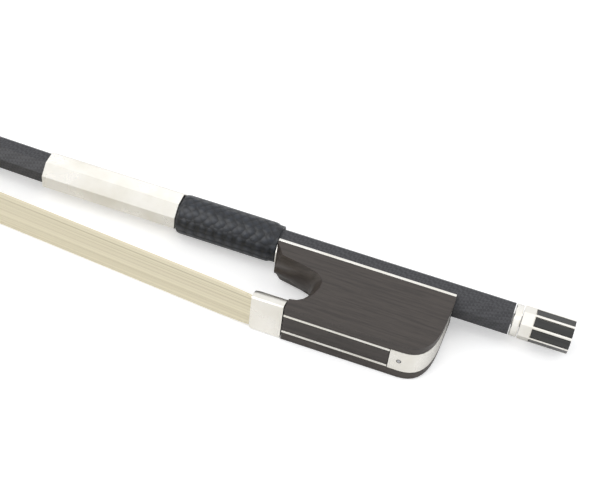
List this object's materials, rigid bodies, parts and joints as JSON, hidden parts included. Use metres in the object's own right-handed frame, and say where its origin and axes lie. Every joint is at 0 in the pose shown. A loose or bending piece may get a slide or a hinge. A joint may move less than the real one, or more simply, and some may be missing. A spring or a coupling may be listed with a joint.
{
  "type": "viola bow",
  "caption": "Viola bow with an octagonal carbon-fibre stick, dark frog with silver fittings, horsehair ribbon and a turning screw button.",
  "frame": {"origin": "middle of the button's end face, on the stick's axis", "axes": "+X along the stick's axis out of the button, -Y from the stick to the hair, +Z out of the side that faces up"},
  "size_m": [0.747, 0.0785, 0.013],
  "materials": {
    "carbon_fibre": "satin",
    "silver": "polished",
    "ebony": "satin",
    "slide_ebony": "satin",
    "black_inlay": "gloss",
    "brass": "satin",
    "steel": "polished",
    "black_leather": "embossed",
    "horsehair": "fibrous",
    "maple": "matte",
    "bound_hair": "matte"
  },
  "bodies": {
    "stick": {"stick": "carbon_fibre", "winding": "silver", "thumb_leather": "black_leather", "tip_plate": "silver", "tip_liner": "ebony", "plug_head": "maple", "hair_knot_head": "bound_hair", "hair_ribbon": "horsehair", "screw_sleeve": "brass"},
    "frog": {"frog_body": "ebony", "frog_liner": "silver", "liner_screw_1": "steel", "liner_screw_2": "steel", "eyelet": "brass", "plug_frog": "maple", "hair_knot_frog": "bound_hair", "slide": "slide_ebony", "slide_rail_near": "silver", "slide_rail_far": "silver", "heel_plate": "silver", "heel_pin_1": "steel", "heel_pin_2": "steel", "heel_pin_3": "steel", "ferrule": "silver", "spread_wedge": "maple"},
    "screw": {"screw": "steel", "button_ring": "silver", "button_shell": "silver", "button_panel_1": "black_inlay", "button_panel_2": "black_inlay", "button_panel_3": "black_inlay", "button_panel_4": "black_inlay", "button_panel_5": "black_inlay", "button_panel_6": "black_inlay", "button_panel_7": "black_inlay", "button_panel_8": "black_inlay"}
  },
  "joints": [
    {"name": "screw_turn", "type": "hinge", "parent": "stick", "child": "screw", "pos_m": [0, 0, 0], "axis": [-1, 0, 0], "range_deg": [0, 3060]},
    {"name": "frog_slide", "type": "slide", "parent": "stick", "child": "frog", "axis": [1, 0, 0], "range_m": [0, 0.00595], "deforming": ["hair_ribbon"]}
  ],
  "couplings": [
    {"joint": "screw_turn", "follows": "frog_slide", "rad_per_m": 8976}
  ]
}
